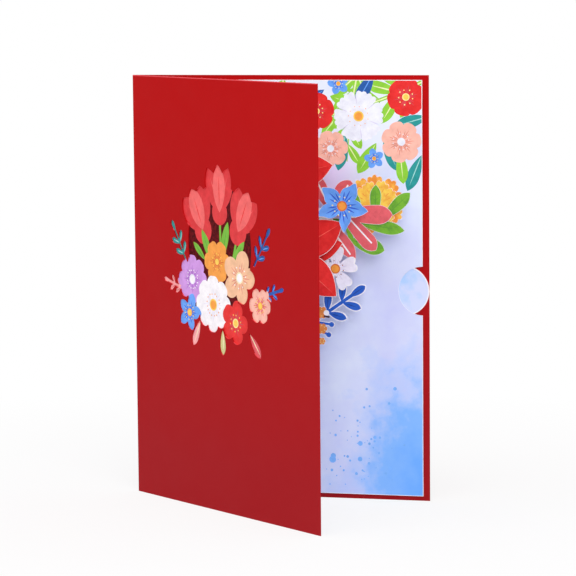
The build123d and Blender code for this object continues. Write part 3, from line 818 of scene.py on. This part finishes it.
lining = {
    "gap": 3.0, "right": 124.3, "bottom": 2.0, "top": 176.0, "notch": 10.2, "notchHeight": 88.5, "rim": 0.22,
    "fronds": [
        (128, 177, 207, 58, 6, 16, 5.4, "lime", -9), (98, 182, 256, 40, 5, 13, 5.0, "lime", 4),
        (66, 180, 262, 42, 5, 13, 5.0, "lime", 6), (44, 182, 226, 44, 6, 13, 5.0, "green", -6),
        (20, 180, 278, 44, 5, 13, 5.0, "lime", 6),
    ],
    "leaves": [
        (104, 179, 240, 15, 5.4, "navy", "sky"), (127, 161, 196, 15, 5.4, "teal", "tealPale"),
        (92, 154, 258, 16, 5.4, "teal", "tealPale"), (108, 152, 294, 15, 5.4, "teal", "tealPale"),
        (124, 145, 248, 16, 5.4, "teal", "tealPale"), (105, 150, 238, 15, 5.6, "lime", "limePale"),
        (83, 172, 214, 14, 5.0, "navy", "sky"), (115, 146, 276, 13, 5.0, "lime", "limePale"),
        (56, 166, 250, 17, 5.4, "teal", "tealPale"), (34, 162, 296, 16, 5.0, "navy", "sky"),
        (12, 170, 296, 18, 5.6, "teal", "tealPale"),
    ],
    "flowers": [  # places and radii, then count and ink of petals, first angle, streaks, heart, dots
        (
            "white", [(97.5, 161.0, 11.0), (48, 152, 9.6)],
            (6, "printWhite", 8, (0.36, 0.26, "lilacWhite"), (0.2, "orange", "yellow"),
             (11, 0.4, 0.28, "sand")),
        ), (
            "red", [(117.5, 169.0, 7.8), (79.5, 163.0, 7.6), (24, 156, 8.0)],
            (6, "crimson", 14, (0.5, 0.34, "coralDark"), (0.2, "yellow", "yellowPale"),
             (9, 0.42, 0.30, "yellowPale")),
        ), (
            "peach", [(115.5, 150.5, 8.4), (85.5, 147.5, 7.4), (66, 150, 8.2)],
            (7, "peach", 4, (0.55, 0.42, "peachDark"), (0.2, "printWhite", "printWhite"),
             (12, 0.42, 0.26, "printWhite")),
        ), (
            "blue", [(89.0, 174.5, 4.8), (104.0, 143.5, 4.4), (30, 138, 6.6)],
            (5, "sky", 30, (0.45, 0.3, "skyDark"), (0.2, "orange", "yellow"), (9, 0.4, 0.2, "yellowPale")),
        ),
    ],
    "splashes": [  # corner, field, count, smallest and largest radius
        (81, 5, 30, 34, 44, 0.22, 0.80), (94, 22, 24, 26, 11, 0.45, 1.70), (84, 5, 18, 14, 8, 0.5, 1.9),
        (10, 8, 66, 38, 40, 0.2, 1.1),
    ],
}


def liningOutline(inset, notched, steps=28):
    left, right = lining["gap"] + inset, lining["right"] - inset
    low, high = lining["bottom"] + inset, lining["top"] - inset
    outline = [(left, low), (right, low)]
    if notched:
        radius = lining["notch"] + inset / 8
        for i in range(steps + 1):
            a = -pi / 2 - pi * i / steps
            x, z = lining["right"] + radius * cos(a), lining["notchHeight"] + radius * sin(a)
            outline.append((min(x, right), z))
    return outline + [(right, high), (left, high)]


def garlandPetal(kind, radius):
    if kind == "white":
        return frilledShape(radius, radius * 0.86, 4)
    if kind == "blue":
        return leafShape(radius, radius * 0.7, 0.56)
    return petalShape("round", radius, radius * (0.98 if kind == "red" else 0.80))


def garland():
    marks = []
    for x, z, angle, length, pairs, blade, width, ink, bend in lining["fronds"]:
        marks += frond((x, z), angle, length, pairs, blade, width, ink, "limePale", bend)
    for x, z, angle, length, width, ink, vein in lining["leaves"]:
        marks += veinedLeaf((x, z), angle, length, width, ink, vein, 0.62, 0.42)
    for kind, spots, look in lining["flowers"]:
        for x, z, radius in spots:
            if kind == "white":
                marks.append((discShape(radius * 0.66, 24, x, z), "printWhite"))
            marks += printedFlower((x, z), radius, garlandPetal(kind, radius), *look)
            if kind == "white":
                shade = slid(leafShape(radius * 0.4, 0.3, 0.7, 3), radius * 0.44)
                marks += ring(shade, look[0], "lilacShade", (x, z), look[2] + 180 / look[0])
    return marks


def splashes(seed):
    marks = []
    for i, (x, z, width, height, count, small, large) in enumerate(lining["splashes"]):
        sizes = {"Count": count, "Width": width, "Height": height, "Smallest": small, "Largest": large}
        marks += grow("splash", discShape(1.0, 10), "splash", (x, z), 0.0, Seed=seed + i, **sizes)
    return marks


def cutAt(outline, axis, limit, sign):  # what lies on one side of a straight line
    kept = []
    for before, after in zip(outline[-1:] + outline[:-1], outline):
        inBefore, inAfter = sign * (before[axis] - limit) >= 0, sign * (after[axis] - limit) >= 0
        if inBefore != inAfter:
            share = (limit - before[axis]) / (after[axis] - before[axis])
            kept.append(tuple(a + (b - a) * share for a, b in zip(before, after)))
        if inAfter:
            kept.append(after)
    return kept


def clipped(marks, inner):  # prints end where the white rim starts
    kept = []
    for outline, ink in marks:
        for axis in (0, 1):
            values = [point[axis] for point in inner]
            for limit, sign in ((min(values), 1), (max(values), -1)):
                outline = cutAt(outline, axis, limit, sign)
        if len(outline) > 2:
            kept.append((outline, ink))
    return kept


def printLining(node, name, side, ground, seed, notched):
    outer, inner = (liningOutline(inset, notched) for inset in (0.0, lining["rim"]))
    marks = [(inner, ground)] + clipped(splashes(seed) + garland(), inner)
    cutOut(node, name, "printed_lining", side, [outer], marks)


printLining("back_lining", "printedBackLining", backSide, "backWash", 5, True)
printLining("front_lining", "printedFrontLining", frontSide, "frontWash", 11, False)
print("linings printed")

# Bouquet, back half: places are shares of its reach from the platform's free edge

bouquet = {"edge": 78.58, "middle": 102.0, "reach": 42.0, "lap": 10.0, "tab": 5.0, "rim": 0.45}


def inBouquet(x, z):
    return (bouquet["edge"] + x * bouquet["reach"], bouquet["middle"] + z * bouquet["reach"])


def barBetween(start, end, width):
    return barShape(inBouquet(*start), inBouquet(*end), width)


def tabTo(place):
    left, half = bouquet["edge"] - bouquet["lap"], bouquet["tab"] / 2
    return [(x, place[1] + sign * half) for x, sign in ((left, -1), (place[0], -1), (place[0], 1), (left, 1))]


def outlinesOf(marks):
    return [outline for outline, ink in marks]


marigold = {
    "place": (0.657, 0.550), "count": 9, "lobes": 3,
    "rings": [  # node, piece, slot, then radius, petal width over radius and first angle, inks
        ("marigold_outer", "marigoldOuterRing", "marigold_orange",
         (13.0, 0.54, 11), "marigoldOuter", "orangeDark"),
        ("marigold_inner", "marigoldInnerRing", "marigold_yellow",
         (10.5, 0.56, 31), "marigoldInner", "orange"),
    ],
    "streaks": [(-8, 0.22), (8, 0.26)],
}


def marigoldRing(node, name, slot, sizes, ink, deep):
    radius, share, first = sizes
    place, count, chances = inBouquet(*marigold["place"]), marigold["count"], (2, 0.05, 4)  # sway, shrink, seed
    petal, disc = frilledShape(radius, radius * share, marigold["lobes"]), discShape(radius * 0.5, 20, *place)
    shapes = outlinesOf(ring(petal, count, ink, place, first, *chances)) + [disc]
    marks = [(disc, ink)] + ring(scaled(petal, 0.985), count, ink, place, first, *chances)
    for lean, long in marigold["streaks"]:
        streak = slid(leafShape(radius * long, 0.4, 0.5, 3), radius * 0.5)
        marks += ring(streak, count, deep, place, first + lean, *chances)
    cutOut(node, name, slot, backSide, shapes, marks, edge=deep)


for values in marigold["rings"]:
    marigoldRing(*values)

leaves = {
    "branch": [(-0.24, 0.40), (0.30, 0.38), (0.745, 0.406)], "stalk": [(0.352, 0.385), (0.415, 0.20)],
    "green": [  # root, angle, length, width over length
        (0.650, 0.41, 88, 0.336, 0.34), (0.729, 0.404, 44, 0.383, 0.34), (0.484, 0.367, -9, 0.470, 0.28),
        (0.386, 0.205, -16.9, 0.377, 0.43), (0.515, 0.40, 107.6, 0.30, 0.32),
    ],
    "coral": [  # root, angle, length, width over length, belly, how far the vein is from the middle
        (0.230, 0.450, 0, 0.60, 0.32, 0.76, 0.0), (0.268, 0.524, -47, 0.58, 0.28, 0.80, 0.6),
        (0.154, 0.405, -53, 0.50, 0.30, 0.68, -0.5), (0.230, 0.450, 62, 0.38, 0.54, 0.66, 0.0),
        (0.230, 0.450, 116, 0.45, 0.32, 0.66, 0.0),
    ],
    "hub": (0.23, 0.45), "rim": 0.22, "vein": 0.65,
}


def printedLeaf(root, angle, length, width, ink, belly=0.66):  # its outline, and the print inside the white rim
    rim = leaves["rim"]
    printed = slid(leafShape(length - rim, width - rim, belly), rim / 2)
    return placed(leafShape(length, width, belly), root, angle), (placed(printed, root, angle), ink)


def greenLeaves():
    stalk = barBetween(*leaves["stalk"], bouquet["tab"] / 2.5)
    shapes, marks = [stalk], [(stalk, "leafGreen")]
    for ends in zip(leaves["branch"], leaves["branch"][1:]):
        shapes.append(barBetween(*ends, bouquet["tab"] / 2))
        marks.append((barBetween(*ends, bouquet["tab"] / 2 - bouquet["rim"]), "greenDark"))
    for x, z, angle, share, spread in leaves["green"]:
        root, length = inBouquet(x, z), share * bouquet["reach"]
        shape, mark = printedLeaf(root, angle, length, spread * length, "leafGreen")
        shapes.append(shape)
        marks += [mark] + sideVeins(root, angle, length, spread * length, "greenDark", 4, 0.2)
        marks.append((placed(ribShape(length, 0.34, 0.86), root, angle), "greenDark"))
    cutOut("green_leaves", "greenLeafBranch", "leaf_green", backSide, shapes, marks, edge="green")


def coralLeaves():
    shapes, marks = [tabTo(inBouquet(*leaves["hub"]))], []
    for number, (x, z, angle, share, spread, belly, veinShift) in enumerate(leaves["coral"]):
        root, length = inBouquet(x, z), share * bouquet["reach"]
        shape, mark = printedLeaf(root, angle, length, spread * length, "coral", belly)
        shapes.append(shape)
        marks.append(mark)
        if number:  # the first leaf has no white vein
            vein = barShape((length * 0.1, veinShift), (length * 0.865, veinShift), leaves["vein"])
            marks.append((placed(vein, root, angle), "paperWhite"))
        else:
            marks += sideVeins(root, angle, length, spread * length, "coralDark", 7, 0.16)
    cutOut("coral_leaves", "coralLeafFan", "leaf_coral", backSide, shapes, marks, edge="coral")


greenLeaves()
coralLeaves()

daisies = {  # place, radius and first angle of each
    "petal": 0.70, "back": ((0.253, -0.09), 9.4, 15), "front": ((0.22, -0.30), 8.5, 0),
}


def daisyOn(node, name, side, share, radius, first):
    place = inBouquet(*share)
    petal = petalShape("notched", radius, radius * daisies["petal"])
    shapes = [tabTo(place), discShape(radius * 0.3, 20, *place)]
    shapes += outlinesOf(ring(petal, 5, "lilacWhite", place, first))
    looks = (0.42, 0.30, "lilacShade"), (0.22, "orange", "orangeDark"), (10, 0.40, 0.28, "shadeBrown")
    marks = [(tabTo(place), "lilacWhite")]
    marks += printedFlower(place, radius, scaled(petal, 0.97), 5, "lilacWhite", first, *looks)
    cutOut(node, name, "daisy_white", side, shapes, marks)


daisyOn("daisy", "paperDaisy", backSide, *daisies["back"])

sprigs = {
    "root": (-0.11, -0.72), "angle": 35, "length": 34.2, "stem": 2.1, "rim": 0.35,
    "leaflet": 0.26, "width": 0.44, "bare": 0.41, "pairsTo": 0.85, "spread": 51.0,
}


def blueSprig():
    place, angle, length, rim = inBouquet(*sprigs["root"]), sprigs["angle"], sprigs["length"], sprigs["rim"]
    leaflet = length * sprigs["leaflet"]
    broad = leaflet * sprigs["width"]
    tip, stemEnd = (placed([(length - leaflet * share, 0)], place, angle)[0] for share in (1, 0.5))

    def leaflets(blade, ink="blue"):
        given = length * sprigs["pairsTo"], length * sprigs["bare"], sprigs["spread"]
        return [(placed(blade, tip, angle), ink)] + sprigOf(blade, 2, ink, place, angle, *given)

    shapes = [barShape(place, stemEnd, sprigs["stem"])] + outlinesOf(leaflets(leafShape(leaflet, broad)))
    marks = [(barShape(place, stemEnd, sprigs["stem"] - 2 * rim), "blue")]
    marks += leaflets(slid(leafShape(leaflet - 2 * rim, broad - 2 * rim), rim))
    marks += leaflets(slid(leafShape(leaflet * 0.66, 0.4, 0.4, 3), 1.4), "blueDark")
    cutOut("blue_sprig", "paperSprig", "sprig_blue", backSide, shapes, marks)


berries = {
    "root": (-0.14, -0.60), "berries": [(0.11, -0.53, 1.0), (0.11, -0.69, 0.9), (0.11, -0.815, 0.6)],
    "buds": [(0.21, -0.647), (0.18, -0.75)], "berry": 2.6, "bud": 1.3, "stem": 0.8,
    "twig": 1.5, "bead": (0.157, -0.532), "beadRadius": 1.15, "bract": ((0.131, -0.565), (0.19, -0.573)),
}


def berrySprig():
    root, shapes, marks, tops = berries["root"], [], [], []
    for x, z, size in berries["berries"]:
        place, radius = inBouquet(x, z), berries["berry"] * size
        petal, disc = petalShape("round", radius, radius * 0.8), discShape(radius * 0.5, 14, *place)
        shapes += [barBetween(root, (x, z), berries["stem"]), disc]
        shapes += outlinesOf(ring(petal, 6, "berry", place))
        marks.append((barBetween(root, (x, z), berries["stem"] - 0.3), "stemDark"))
        tops += ring(scaled(petal, 0.95), 6, "berry", place) + [(disc, "berry")]
        tops += ring(discShape(0.22, 6, radius * 0.55), 6, "yellowPale", place, 30)
    for spot in berries["buds"]:
        shapes += [barBetween(root, spot, berries["twig"]), discShape(berries["bud"], 18, *inBouquet(*spot))]
        marks.append((barBetween(root, spot, berries["twig"] - 0.5), "blue"))
        tops.append((discShape(berries["bud"] - 0.22, 18, *inBouquet(*spot)), "blue"))
    bead = discShape(berries["beadRadius"], 16, *inBouquet(*berries["bead"]))
    bract = barBetween(*berries["bract"], berries["stem"])
    tops += [(bract, "stemDark"), (bead, "paperWhite")]
    cutOut("berry_sprig", "paperBerries", "berry_orange", backSide, shapes + [bead, bract], marks + tops)


blueSprig()
berrySprig()

bloom = {
    "share": 0.56, "belly": 0.48, "count": 5, "disc": 6.5, "sheet": 0.3, "rim": 0.3, "mesh": 2.0,
    "layers": [  # node, piece, place, petal length, first angle, fold and curl
        ("red_bloom_outer", "redBloomOuter", (-0.383, 0.81), 27.0, 11.6, 1.0, 0.3),
        ("red_bloom_back", "redBloomBack", (-0.188, 0.055), 22.3, 12.2, 0.0, 0.0),
        ("red_bloom_inner", "redBloomInner", (-0.188, 0.055), 26.2, 31, 0.8, 0.5),
    ],
}


def redBloom(node, name, share, length, first, fold, curl):
    place, count, rim = inBouquet(*share), bloom["count"], bloom["rim"]
    width, disc = length * bloom["share"], discShape(bloom["disc"], 28, *place)
    petal, printed = (pointedShape(length - less / 2, width - less, bloom["belly"], 12) for less in (0, rim))
    shapes = [disc] + outlinesOf(ring(petal, count, "crimson", place, first))
    marks = [(disc, "crimson")] + ring(printed, count, "crimson", place, first)
    marks += ring(ribShape(length, 0.42, 0.9, 0.3, 0.05, 6), count, "crimsonPale", place, first)
    marks += ring(discShape(0.3, 8, bloom["disc"] * 0.7), 10, "yellowPale", place)
    marks.append((discShape(bloom["disc"] * 0.34, 18, *place), "yellow"))
    axes = [(place, first + 360 / count * number, length, width / 2) for number in range(count)]
    high = levelsOf(node, backSide)[1]
    cutOut(
        node, name, "bloom_red", backSide, shapes, marks, (high - bloom["sheet"], high), edge="edgePink",
        mesh=bloom["mesh"], creases=creasesOf(axes), lift=petalLift(axes, fold, curl)
    )


for values in bloom["layers"]:
    redBloom(*values)

stars = {
    "petal": 0.62, "rim": 0.08, "fold": -0.55, "curl": 0.9, "mesh": 1.5,
    "petals": [(1.0, 0, -4), (1.0, 0, 4), (0.94, 0, -5), (0.72, 1.8, -12), (1.0, 0, 0)],  # width, slide, turn
    "back": [
        "blue_star", "blueStarFlower", "star_blue", (0.345, 0.54), 11.3, 61.5,
        ("sky", "skyDark", "orange", "orangeDark", "yellowPale"),
    ],
    "front": [
        "lilac_star", "lilacStarFlower", "star_lilac", (0.22, 0.45), 11.0, 18,
        ("lilac", "lilacDark", "yellow", "orange", "paperWhite"),
    ],
}


def starFlower(side, node, name, slot, share, radius, first, starInks):
    ink, streak, heart, rim, dotInk = starInks
    place, width, white = inBouquet(*share), radius * stars["petal"], stars["rim"]
    disc = discShape(radius * 0.38, 20, *place)
    shapes, marks, axes = [disc], [(disc, ink)], []
    for number, (part, slide, turn) in enumerate(stars["petals"]):
        root = placed([(0, slide)], place, first + 72 * number)[0]
        angle = first + 72 * number + turn
        shapes.append(placed(wavyShape(radius, width * part), root, angle))
        marks.append((placed(wavyShape(radius - 2 * white, width * part - white), root, angle), ink))
        axes.append((root, angle, radius, width * part / 2))
    looks = (0.52, 0.62, streak), (0.19, heart, rim), (10, 0.36, 0.34, dotInk)
    marks += printedFlower(place, radius, None, 5, ink, first, *looks)
    cutOut(
        node, name, slot, side, shapes, marks, edge=ink, mesh=stars["mesh"], creases=creasesOf(axes),
        lift=petalLift(axes, stars["fold"], stars["curl"])
    )


starFlower(backSide, *stars["back"])
print("back half of the bouquet built")

# Bouquet, front half, on the front cover's side

frontHalf = {
    "place": (-0.20, 0.10), "hub": 6.5, "bloom": 17.0, "inner": 11.0, "petal": 0.62,
    "leaves": [(78, 0.95, 0.30), (34, 1.00, 0.28), (-10, 0.90, 0.30), (-52, 0.85, 0.30)],
    "coral": [(40, 0.80, 0.30), (4, 0.78, 0.32), (-34, 0.74, 0.32)],
}


def leafFan(node, name, slot, fan, ink, vein, veins):
    hub = inBouquet(*frontHalf["place"])
    disc = discShape(frontHalf["hub"], 24, *hub)
    shapes, marks = [disc], [(disc, ink)]
    for angle, share, spread in fan:
        length = share * bouquet["reach"]
        width = spread * length
        shapes.append(placed(leafShape(length, width), hub, angle))
        marks.append((placed(slid(leafShape(length - 0.7, width - 0.7), 0.3), hub, angle), ink))
        if veins:
            marks += sideVeins(hub, angle, length, width, vein, 6)
        marks.append((placed(ribShape(length, 0.6, 0.84, 0.4, 0.08), hub, angle), vein))
    cutOut(node, name, slot, frontSide, shapes, marks)


def peachBloom(node, name, radius, first, ink):
    place = inBouquet(*frontHalf["place"])
    petal = petalShape("notched", radius, radius * frontHalf["petal"])
    disc = discShape(radius * 0.3, 20, *place)
    shapes = [disc] + outlinesOf(ring(petal, 8, ink, place, first))
    looks = (0.5, 0.55, "peachDark"), (0.2, "paperWhite", "cream"), (12, 0.36, 0.3, "paperWhite")
    marks = [(disc, ink)] + printedFlower(place, radius, scaled(petal, 0.965), 8, ink, first, *looks)
    cutOut(node, name, "bloom_peach", frontSide, shapes, marks)


leafFan("front_leaves", "frontLeafFan", "leaf_green", frontHalf["leaves"], "green", "greenDark", True)
leafFan("front_coral_leaves", "frontCoralFan", "leaf_coral", frontHalf["coral"], "coral", "paperWhite", False)
daisyOn("front_daisy", "frontPaperDaisy", frontSide, *daisies["front"])
peachBloom("peach_bloom_outer", "peachBloomOuter", frontHalf["bloom"], 0, "peach")
peachBloom("peach_bloom_inner", "peachBloomInner", frontHalf["inner"], 22.5, "sand")
starFlower(frontSide, *stars["front"])
print("front half of the bouquet built")

# Floor, backdrop and light

studio = {
    "floor": 3.0, "floorTone": 0.86, "whiteShare": 0.80, "fade": (0.10, 0.34), "sky": 0.63,
    "skyTint": (1.0, 0.945, 0.98, 1),
    "lamps": [  # name, place, size, power
        ("leftSoftbox", (-1.00, -0.80, 0.90), 0.7, 3.0),
        ("rightSoftbox", (0.55, -1.15, 0.80), 0.9, 9.0),
        ("topSoftbox", (0.00, -0.45, 1.30), 0.6, 4.0),
    ],
}


def seenIn(tree):  # what the camera and reflections see
    path = put(tree, "ShaderNodeLightPath").outputs
    through = sums("MAXIMUM", path["Is Glossy Ray"], path["Is Transmission Ray"])
    return sums("MAXIMUM", path["Is Camera Ray"], through)


def paleFloor():
    half = studio["floor"] / 2
    mesh = bpy.data.meshes.new("floor")
    corners = [(-half, -half, 0), (half, -half, 0), (half, half, 0), (-half, half, 0)]
    mesh.from_pydata(corners, [], [[0, 1, 2, 3]])
    mesh.materials.append(bpy.data.materials.new("floorPaper"))
    tree, grey = freshTree(mesh.materials[0]), studio["floorTone"]
    matte = put(tree, "ShaderNodeBsdfDiffuse", {"Color": (grey, grey, grey, 1)}).outputs[0]
    glow = put(tree, "ShaderNodeEmission", {"Color": (1, 1, 1, 1), "Strength": 1.0}).outputs[0]
    spot = put(tree, "ShaderNodeTexCoord").outputs["Object"]
    reach = join("ShaderNodeVectorMath", {0: spot}, operation="LENGTH")["Value"]
    white = ranged(reach, *studio["fade"], studio["whiteShare"], 1.0)
    share = sums("*", seenIn(tree), white)
    join("ShaderNodeOutputMaterial", {"Surface": join("ShaderNodeMixShader", {0: share, 1: matte, 2: glow})[0]})
    newObject("floor", mesh)


def paleRoom():
    scene.world = bpy.data.worlds.new("paleRoom")
    tree = freshTree(scene.world)
    seen = seenIn(tree)
    strength = ranged(seen, 0, 1, studio["sky"], 1.0)
    colour = blended(seen, studio["skyTint"], (1, 1, 1, 1))
    sky = join("ShaderNodeBackground", {"Color": colour, "Strength": strength})[0]
    join("ShaderNodeOutputWorld", {"Surface": sky})


def softboxes():
    target = Vector((0, 0, card["height"] * mm / 2))
    for name, place, size, power in studio["lamps"]:
        lamp = bpy.data.lights.new(name, "AREA")
        lamp.size, lamp.energy = size, power
        holder = newObject(name, lamp)
        holder.location = place
        holder.rotation_euler = (target - Vector(place)).to_track_quat("-Z", "Y").to_euler()


paleFloor()
paleRoom()
softboxes()
scene.view_settings.view_transform = "Standard"
print("studio built")
